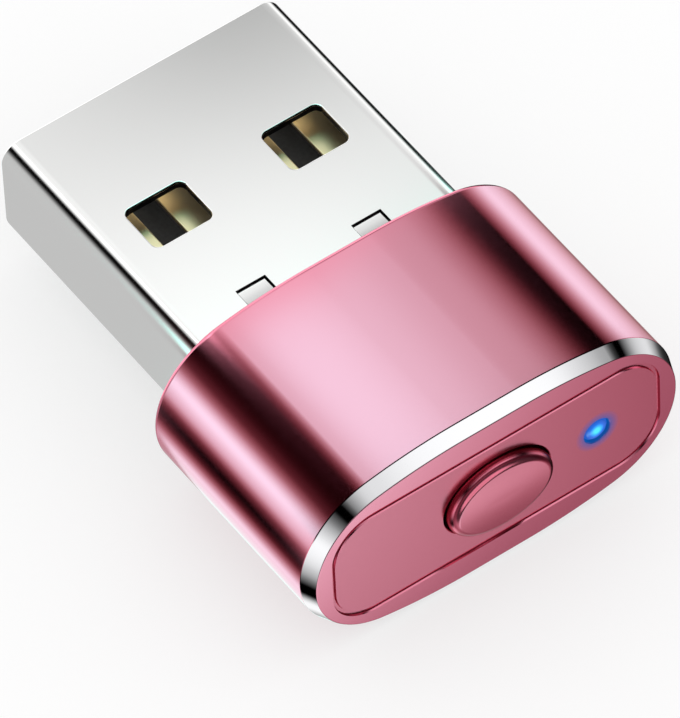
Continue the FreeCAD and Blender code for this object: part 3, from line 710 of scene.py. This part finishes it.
# %% Build the shell
bm = bmesh.new()
profile = [(0, shell_back_y), (0, plug_high.y - MOUTH_ROUND)]
for angle in (30, 60, 90):
    turn = math.radians(angle)
    run = MOUTH_ROUND * math.sin(turn)
    profile.append((-MOUTH_ROUND * (1 - math.cos(turn)), plug_high.y - MOUTH_ROUND + run))
profile += [(-WALL + ROLL, plug_high.y), (-WALL + ROLL * 0.3, plug_high.y - ROLL * 0.3)]
profile += [(-WALL, plug_high.y - ROLL), (-WALL, shell_back_y)]
loops = [
    rounded_loop(bm, plug_size.x, plug_size.z, PLUG_RADIUS, upright(y), spare, 16)
    for spare, y in profile
]
bands = skin(bm, loops, closed=True)
for side in (-1, 1):
    rims = []
    for hand in (-1, 1):
        window = []
        for grow, depth in ((ROLL, 0), (ROLL * 0.3, ROLL * 0.3), (0, ROLL), (0, WALL)):
            place = flat_place(hand * WINDOW_X, window_y, side, depth)
            window.append(rounded_loop(bm, *WINDOW, place, grow))
        slot = []
        for depth in (0, WALL):
            place = flat_place(hand * TAB_X, tab_front_y - TAB_LENGTH / 2, side, depth)
            slot.append(
                rounded_loop(bm, TAB_WIDTH + 2 * SIDE_SLIT, TAB_LENGTH, SLIT_ROUND, place, 0, 3)
            )
        rims += [window, slot]
    for band, depth, rank in ((bands[0], 0, 0), (bands[-2], WALL, -1)):
        wall_z = AXIS_Z + side * (half_plug - depth)
        sheet = []
        for face in band:
            if face.is_valid and all(abs(vert.co.z - wall_z) < TINY for vert in face.verts):
                sheet.append(face)
        border = list({edge for face in sheet for edge in face.edges})
        bmesh.ops.delete(bm, geom=sheet, context="FACES_ONLY")
        holes = [rim[rank] for rim in rims]
        if side < 0 and depth == 0:
            length = plug_high.y - shell_back_y - 2 * SEAM_INSET
            seam = []
            for down in (0, SEAM_DEPTH):
                place = flat_place(0, shell_back_y + SEAM_INSET + length / 2, side, down)
                seam.append(rounded_loop(bm, SEAM_WIDTH, length, SEAM_ROUND, place, 0, 2))
            skin(bm, seam)
            bmesh.ops.contextual_create(bm, geom=seam[1])
            holes.append(seam[0])
        plate(bm, [border] + holes, (0, 0, side if depth == 0 else -side))
    # window and slot walls take the sheared steel, whose dark colour is partly painted shade
    for rim in rims:
        for face in skin(bm, rim)[-1]:
            face.material_index = 1
print("shell walls:", len(bm.faces), "faces")

# %% [markdown]
# The tabs are sheared on three sides and pressed inwards, so each one is a strip whose free end
# sits lower than its root. The two legs reach back to the board, out of sight in the sleeve.

# %% Add the tabs and legs


def block(bm, centre, size):
    """A box, for a strip that is bent or bevelled afterwards."""
    place = Matrix.Translation(centre) @ Matrix.Diagonal((*size, 1))
    return bmesh.ops.create_cube(bm, size=1, matrix=place)["verts"]


def soft_edges(bm, verts, offset):
    """Rounds every edge between these corners."""
    edges = list({edge for vert in verts for edge in vert.link_edges})
    bmesh.ops.bevel(
        bm,
        geom=edges,
        offset=offset,
        offset_type="OFFSET",
        segments=2,
        profile=0.5,
        affect="EDGES",
        material=-1,
        clamp_overlap=True,
    )


def strip(bm, left, width, line, bend, thickness, corner):
    """Strip of sheet metal whose top follows a (y, z) line, with round bends and soft corners."""
    old = set(bm.verts)
    verts = [bm.verts.new((left, y, z)) for y, z in line]
    for pair in zip(verts, verts[1:]):
        bmesh.ops.contextual_create(bm, geom=list(pair))
    bmesh.ops.bevel(
        bm,
        geom=verts[1:-1],
        offset=bend,
        offset_type="OFFSET",
        segments=6,
        profile=0.5,
        affect="VERTICES",
        material=-1,
        clamp_overlap=False,
    )
    edges = list({edge for vert in bm.verts if vert not in old for edge in vert.link_edges})
    drawn = bmesh.ops.extrude_edge_only(bm, edges=edges)["geom"]
    moved = [item for item in drawn if isinstance(item, bmesh.types.BMVert)]
    bmesh.ops.translate(bm, vec=(width, 0, 0), verts=moved)
    faces = [item for item in drawn if isinstance(item, bmesh.types.BMFace)]
    bmesh.ops.recalc_face_normals(bm, faces=faces)
    if sum(face.normal.z * face.calc_area() for face in faces) > 0:
        bmesh.ops.reverse_faces(bm, faces=faces)
    bmesh.ops.solidify(bm, geom=faces, thickness=-thickness)
    made = [vert for vert in bm.verts if vert not in old]
    root = line[0][0] + TINY
    corners = []
    for edge in {edge for vert in made for edge in vert.link_edges}:
        past_root = max(vert.co.y for vert in edge.verts) > root
        if past_root and edge.calc_face_angle(0) > math.radians(60):
            corners.append(edge)
    bmesh.ops.bevel(
        bm,
        geom=corners,
        offset=corner,
        offset_type="OFFSET",
        segments=3,
        profile=0.5,
        affect="EDGES",
        material=-1,
        clamp_overlap=True,
    )
    return [vert for vert in bm.verts if vert not in old]


wall_top = AXIS_Z + half_plug
line = ((tab_front_y - TAB_LENGTH, wall_top), (tab_front_y - TAB_FLAT, wall_top - TAB_DROP))
line += ((tab_front_y - TIP_SLIT, wall_top - TAB_DROP),)
for side in (-1, 1):
    for hand in (-1, 1):
        left = hand * TAB_X - TAB_WIDTH / 2
        tab = strip(bm, left, TAB_WIDTH, line, TAB_BEND, WALL, STRIP_CORNER)
        if side < 0:
            axis = Matrix.Translation((0, 0, -AXIS_Z))
            bmesh.ops.scale(bm, vec=(1, 1, -1), space=axis, verts=tab)
for hand in (-1, 1):
    centre = (hand * (plug_size.x - WALL) / 2, shell_back_y - LEG_LENGTH / 2, AXIS_Z)
    leg = block(bm, centre, (WALL, LEG_LENGTH, LEG_HEIGHT))
    soft_edges(bm, leg, STRIP_CORNER)
finish_piece("plug", bm, "case", "nickel_plate", [nickel, sheared], "plug_shell")

# %% [markdown]
# ## Contacts
# Four gold strips run from tails on the board, through the moulded block, and bow up under the
# windows as springs. Each is a strip like the tabs: a side line of a few points with round
# bends, drawn out to the strip's width and thickened.

# %% Build the contacts
THICKNESS = 0.2
BOW = 1.0
BEND = 0.35
CONTACT_CORNER = 0.06
CREST = 3.4  # length of the bow's level top
FALL = 2.0  # length of the slope in front of it
BLOCK_LENGTH = 2.6  # of the moulded block, from the sleeve's face
crest_back = window_y + BOW / 2 - CREST / 2
crest_front = window_y + BOW / 2 + CREST / 2
block_front_y = front_y + BLOCK_LENGTH
CONTACTS = ("contact_vbus", "contact_data_minus", "contact_data_plus", "contact_ground")
for name in CONTACTS:
    low, high, size = box_mm(name)
    top = low.z + THICKNESS
    line = (
        (low.y, top),
        (block_front_y + BEND, top),
        (crest_back, top + BOW),
        (crest_front, top + BOW),
        (crest_front + FALL, top),
        (high.y, top),
    )
    bm = bmesh.new()
    strip(bm, low.x, size.x, line, BEND / 2, THICKNESS, CONTACT_CORNER)
    finish_piece(name + "_strip", bm, "case", "gold_plate", [gold], name)

# %% [markdown]
# ## Pieces that the frame already shapes
# The tongue, the carrier and everything on the board have their final shape in the CAD frame, so
# they only need their finish.

# %% Finish the remaining solids
FINISHES = {
    "plug_insulator": nylon,
    "carrier_upper": abs_black,
    "carrier_lower": abs_black,
    "circuit_board": mask,
    "microcontroller": epoxy,
    "voltage_regulator": epoxy,
    "crystal": can,
    "ceramic_capacitors": tan_ceramic,
    "chip_resistors": glaze,
    "status_led": lamp_white,
    "switch_base": nylon,
    "switch_cover": steel,
    "switch_dome": steel,
    "switch_terminals": steel,
    "switch_plunger": brown_nylon,
    "solder_joints": tin,
}
for name, material in FINISHES.items():
    mesh = nodes[name].data
    mesh.materials.clear()
    mesh.materials.append(material)
print("finished", len(FINISHES), "solids")

# %% [markdown]
# ## Studio
# Shiny metal shows what stands round it, so product photographers put it in a light tent whose
# cloth is graded from white to black. This tent is a tube round the plug's axis. Its light
# levels are written as pairs of an angle, from straight up towards the right, and a strength,
# where 1 is white. There is a ring of them for each part of the tube: the part that the panel
# mirrors, the chamfer's, the sleeve's and the plug's.

# %% Light levels round the tent
FRONT = ((-180, 0.8), (-120, 0.3), (20, 0.3), (50, 0.1), (125, 0.1), (145, 0.6), (165, 1.4))
FRONT_LOW = ((-180, 0.5), (-120, 0.3), (-70, 0.1), (125, 0.1), (145, 0.4), (165, 0.3))
CHAMFER_LEFT = ((-180, 0.52), (-168, 0.97), (-161, 1.05), (-155, 0.95), (-149, 0.5), (-143, 0.03))
CHAMFER_LEFT += ((-130, 0.0), (-118, 0.35), (-105, 0.78), (-86, 1.07))
CHAMFER_TOP = ((-74, 0.9), (-59, 0.36), (-46, 0.0), (-38, 0.0), (-31, 0.23))
CHAMFER_TOP += ((-17, 0.67), (-2, 0.85), (6, 1.03), (25, 1.1), (33, 0.94), (41, 0.51), (48, 0.13))
CHAMFER_DARK = ((-82, 0.6), (-78, 0.05), (48, 0.0))
CHAMFER_RIGHT = ((55, 0.0), (61, 0.0), (74, 0.5), (89, 0.8), (98, 0.65), (111, 0.13))
CHAMFER_RIGHT += ((133, 0.01), (147, 0.01), (158, 0.38))
SLEEVE = ((-180, 1.06), (-166, 1.16), (-156, 1.2), (-150, 1.22), (-143, 0.94), (-136, 0.58))
SLEEVE += ((-128, 0.2), (-120, 0.03), (-111, 0.05), (-103, 0.31), (-96, 0.85), (-86, 1.26))
SLEEVE += ((-76, 1.34), (-66, 0.69), (-58, 0.23), (-48, 0.06), (-28, 0.02), (-18, 0.08))
SLEEVE += ((-11, 0.4), (-4, 0.93), (4, 1.25), (22.5, 1.12), (24.1, 0.88), (34, 0.75), (40, 0.42))
SLEEVE += ((45, 0.02), (54, 0.12), (74, 1.02), (90, 1.22), (124, 0.6), (136, 0.4))
PLUG_SIDE = ((-180, 0.6), (-72, 0.6), (-62, 0.3), (-54, 0.06), (-38, 0.02), (-33, 0.5))
PLUG_SIDE += ((-28, 1.05), (-24, 1.2), (-21, 2.2), (-17, 2.2), (-14, 1.25))
PLUG_NEAR = ((-4, 1.16), (19, 1.19), (24, 1.13), (29, 0.97), (47, 0.92), (70, 1.12))
PLUG_NEAR += ((80, 1.15), (90, 0.5), (97, 0.04), (120, 0.04), (140, 0.4), (160, 0.6))
PLUG_FAR = ((-4, 1.03), (8, 1.0), (19, 0.9), (24, 0.67), (29, 0.46), (38, 0.53), (56, 0.57))
PLUG_FAR += ((66, 0.68), (75, 1.15), (86, 1.15), (93, 0.5), (99, 0.04), (120, 0.04))
PLUG_FAR += ((140, 0.4), (160, 0.6))
BRIGHTEST = 2.5
print("brightest level beside the plug:", max(level for angle, level in PLUG_SIDE))

# %% [markdown]
# Each ring becomes a colour ramp, and the rings blend into each other along the tube. Levels
# are stored as shares of one ceiling, and the strength of the cloth's light brings them back.


# %% Rings of light and the blends between them
def ring_of_light(tree, around, levels):
    """The light all round one part of the tent."""
    ring = add_node(tree, "ShaderNodeValToRGB", {"Fac": around})
    ramp = ring.color_ramp
    ramp.interpolation = "CARDINAL"
    ends = levels[0][1] / BRIGHTEST
    ramp.elements[0].color = ramp.elements[1].color = (ends, ends, ends, 1)
    for degrees, level in levels[1:]:
        stop = ramp.elements.new((degrees + 180) / 360)
        share = level / BRIGHTEST
        stop.color = (share, share, share, 1)
    return ring.outputs["Color"]


def change_along(tree, along, start, end, before, after):
    """Blends from one light to the next between two places along the tent, in millimetres."""
    share = add_node(
        tree,
        "ShaderNodeMapRange",
        {"Value": along, "From Min": start * MM, "From Max": end * MM},
        interpolation_type="SMOOTHSTEP",
    )
    blend = add_node(
        tree, "ShaderNodeMix", {0: share.outputs["Result"], 6: before, 7: after}, data_type="RGBA"
    )
    return blend.outputs[2]


def grey(level):
    share = level / BRIGHTEST
    return (share, share, share, 1)


print("white is stored as", grey(1))

# %% [markdown]
# Two parts of the cloth are dyed, a warm red where it is dark and cooler where it is bright, so
# the pink metal turns redder in its shadows and paler in its highlights. Each channel's ratio to
# red starts at a share and grows with the light.

# %% The dyed cloth
SLEEVE_DYE = (("Green", 0.25, 1.4), ("Blue", 0.3, 1.2))
FRONT_DYE = (("Green", 0.32, 0.95), ("Blue", 0.48, 0.73))


def dyed(tree, light, dye=SLEEVE_DYE):
    """Cloth dyed red where it is dark: green and blue follow the red light, but more steeply."""
    red = add_node(tree, "ShaderNodeSeparateColor", {"Color": light}).outputs["Red"]
    mixed = add_node(tree, "ShaderNodeCombineColor", {"Red": red})
    for channel, start, slope in dye:
        ratio = add_node(
            tree,
            "ShaderNodeMath",
            {0: red, 1: slope * BRIGHTEST, 2: start},
            operation="MULTIPLY_ADD",
        )
        rest = add_node(
            tree, "ShaderNodeMath", {0: red, 1: ratio.outputs["Value"]}, operation="MULTIPLY"
        )
        tree.links.new(rest.outputs["Value"], mixed.inputs[channel])
    return mixed.outputs["Color"]


print("dyes for the sleeve and the end:", SLEEVE_DYE, FRONT_DYE)

# %% [markdown]
# The parts follow each other from the button's end of the tube to the plug's. Each blend has the
# two places between which one part turns into the next, in millimetres from the sleeve's middle.
# Beyond the part for the end face comes a nearly black band, and both far ends are pale.

# %% Light along the tent
BLEND_LOW_FRONT = (-48, -35)
BLEND_BLACK_BAND = (-72, -50)
BLEND_FAR_FRONT = (-145, -105)
BLEND_CHAMFER = (-27, -19)
BLEND_GAP = (-7, -4)
BLEND_SLEEVE = (26, 28.5)
BLEND_PLUG = (39.3, 40)
BLEND_PLUG_FAR = (42, 57)
BLEND_BACK = (75, 95)
cloth = bpy.data.materials.new("graded tent cloth")
cloth.use_nodes = True
tree = cloth.node_tree
tree.nodes.clear()
place = add_node(tree, "ShaderNodeTexCoord")
parts = add_node(tree, "ShaderNodeSeparateXYZ", {"Vector": place.outputs["Object"]})
angle = add_node(
    tree, "ShaderNodeMath", {0: parts.outputs["X"], 1: parts.outputs["Z"]}, operation="ARCTAN2"
)
turn = add_node(
    tree,
    "ShaderNodeMapRange",
    {"Value": angle.outputs["Value"], "From Min": -math.pi, "From Max": math.pi},
)
around = turn.outputs["Result"]
along = parts.outputs["Y"]
light = ring_of_light(tree, around, FRONT)
low_front = ring_of_light(tree, around, FRONT_LOW)
light = change_along(tree, along, *BLEND_LOW_FRONT, light, low_front)
light = dyed(tree, light, FRONT_DYE)
light = change_along(tree, along, *BLEND_BLACK_BAND, grey(0.08), light)
light = change_along(tree, along, *BLEND_FAR_FRONT, grey(1.2), light)
chamfer_light = ring_of_light(tree, around, CHAMFER_LEFT + CHAMFER_TOP + CHAMFER_RIGHT)
light = change_along(tree, along, *BLEND_CHAMFER, light, chamfer_light)
gap_light = ring_of_light(tree, around, CHAMFER_LEFT + CHAMFER_DARK + CHAMFER_RIGHT)
light = change_along(tree, along, *BLEND_GAP, light, gap_light)
sleeve_light = dyed(tree, ring_of_light(tree, around, SLEEVE))
light = change_along(tree, along, *BLEND_SLEEVE, light, sleeve_light)
near_light = ring_of_light(tree, around, PLUG_SIDE + PLUG_NEAR)
far_light = ring_of_light(tree, around, PLUG_SIDE + PLUG_FAR)
plug_light = change_along(tree, along, *BLEND_PLUG_FAR, near_light, far_light)
light = change_along(tree, along, *BLEND_PLUG, light, plug_light)
light = change_along(tree, along, *BLEND_BACK, light, grey(1.6))
glow = add_node(tree, "ShaderNodeEmission", {"Color": light, "Strength": BRIGHTEST})
add_node(tree, "ShaderNodeOutputMaterial", {"Surface": glow.outputs["Emission"]})
print("tent lit along", len([n for n in tree.nodes if n.type == "VALTORGB"]), "rings")

# %% [markdown]
# The tent is only seen in reflections, so it doesn't hide the dongle or shade the table, and
# reflections leave the table out. The table is white paper that adds some white of its own for
# the camera, so shadows on it stay pale. An even white sky lights the dull pieces as mixed.


# %% Place the tent, the table and the sky
def stage_object(name, bm, material):
    """A finished stage piece from a bmesh in metres."""
    mesh = bpy.data.meshes.new(name)
    bm.to_mesh(mesh)
    bm.free()
    mesh.materials.append(material)
    made = bpy.data.objects.new(name, mesh)
    bpy.context.scene.collection.objects.link(made)
    return made


TENT_RADIUS = 0.06
TENT_LENGTH = 0.5
TABLE_RADIUS = 3
bm = bmesh.new()
bmesh.ops.create_cone(
    bm,
    cap_ends=False,
    segments=96,
    radius1=TENT_RADIUS,
    radius2=TENT_RADIUS,
    depth=TENT_LENGTH,
    matrix=upright(0, 0, 0),
)
tent = stage_object("light_tent", bm, cloth)
tent.location = (0, 0, AXIS_Z * MM)
tent.visible_camera = False
tent.visible_diffuse = False
tent.visible_transmission = False
tent.visible_shadow = False

PAPER_LIT = 0.4  # share of the paper's white that the sky lights; the rest is its own
paper_own = 1 - PAPER_LIT
paper_colour = (PAPER_LIT, PAPER_LIT, PAPER_LIT, 1)
paper = new_material("white paper", Base_Color=paper_colour, Roughness=0.9)
tree = paper.node_tree
shader = tree.nodes["Principled BSDF"]
shader.inputs["Specular IOR Level"].default_value = 0.0
shader.inputs["Emission Color"].default_value = (paper_own, paper_own, paper_own, 1)
rays = add_node(tree, "ShaderNodeLightPath")
seen = rays.outputs["Is Camera Ray"]
for kind in ("Is Glossy Ray", "Is Transmission Ray"):
    both = add_node(tree, "ShaderNodeMath", {0: seen, 1: rays.outputs[kind]}, operation="ADD")
    seen = both.outputs["Value"]
tree.links.new(seen, shader.inputs["Emission Strength"])
bm = bmesh.new()
# a hundredth of a millimetre below the dongle, so that their faces never fight
below = Matrix.Translation((0, 0, -0.01 * MM))
bmesh.ops.create_circle(bm, cap_ends=True, segments=96, radius=TABLE_RADIUS, matrix=below)
table = stage_object("table", bm, paper)
table.visible_glossy = False

world = bpy.data.worlds.new("white sky")
world.use_nodes = True
world.node_tree.nodes["Background"].inputs["Color"].default_value = (1, 1, 1, 1)
bpy.context.scene.world = world
bpy.context.scene.view_settings.view_transform = "Standard"
print("stage: tent, table and sky")
